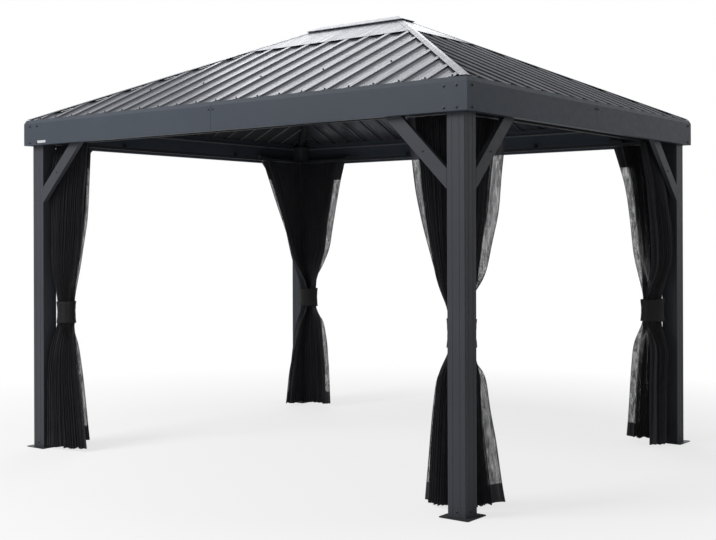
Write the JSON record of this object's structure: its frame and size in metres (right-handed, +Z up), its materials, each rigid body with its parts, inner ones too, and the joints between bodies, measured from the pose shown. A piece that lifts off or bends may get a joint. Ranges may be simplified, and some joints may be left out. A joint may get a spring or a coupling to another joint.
{
  "type": "metal hardtop gazebo",
  "caption": "Open-sided metal hardtop gazebo on square posts, with a ribbed hipped roof, knee braces, deep fascia beams and mesh curtains tied back at the corners.",
  "frame": {"origin": "centre of the footprint on the ground, under the base plates", "axes": "+X along the long eave, +Y along the short eave towards the back, +Z up"},
  "size_m": [3.62, 2.94, 2.9523],
  "materials": {
    "post": "satin powder coat",
    "base_plate": "satin powder coat",
    "brace": "satin powder coat",
    "beam": "satin powder coat",
    "rail": "satin powder coat",
    "roof_frame": "satin powder coat",
    "roof_sheet": "smooth baked paint",
    "flashing": "smooth baked paint",
    "curtain": "fine polyester mesh",
    "curtain_tie": "woven polyester"
  },
  "bodies": {
    "root": {"post_front_right": "post", "post_front_left": "post", "post_back_right": "post", "post_back_left": "post", "base_plate_front_right": "base_plate", "base_plate_front_left": "base_plate", "base_plate_back_right": "base_plate", "base_plate_back_left": "base_plate", "braces_front_right": "brace", "braces_front_left": "brace", "braces_back_right": "brace", "braces_back_left": "brace", "beam_front": "beam", "beam_right": "beam", "beam_back": "beam", "beam_left": "beam", "curtain_rail_front": "rail", "curtain_rail_right": "rail", "curtain_rail_back": "rail", "curtain_rail_left": "rail", "hip_rafter_front_right": "roof_frame", "hip_rafter_front_left": "roof_frame", "hip_rafter_back_right": "roof_frame", "hip_rafter_back_left": "roof_frame", "ridge_beam": "roof_frame", "purlins": "roof_frame", "roof_sheet_front": "roof_sheet", "roof_sheet_right": "roof_sheet", "roof_sheet_back": "roof_sheet", "roof_sheet_left": "roof_sheet", "crown_flashing": "flashing", "hip_cap_front_right": "flashing", "hip_cap_front_left": "flashing", "hip_cap_back_right": "flashing", "hip_cap_back_left": "flashing", "ridge_cap": "flashing", "curtain_front_right": "curtain", "curtain_front_left": "curtain", "curtain_back_right": "curtain", "curtain_back_left": "curtain", "curtain_tie_front_right": "curtain_tie", "curtain_tie_front_left": "curtain_tie", "curtain_tie_back_right": "curtain_tie", "curtain_tie_back_left": "curtain_tie"}
  },
  "joints": []
}
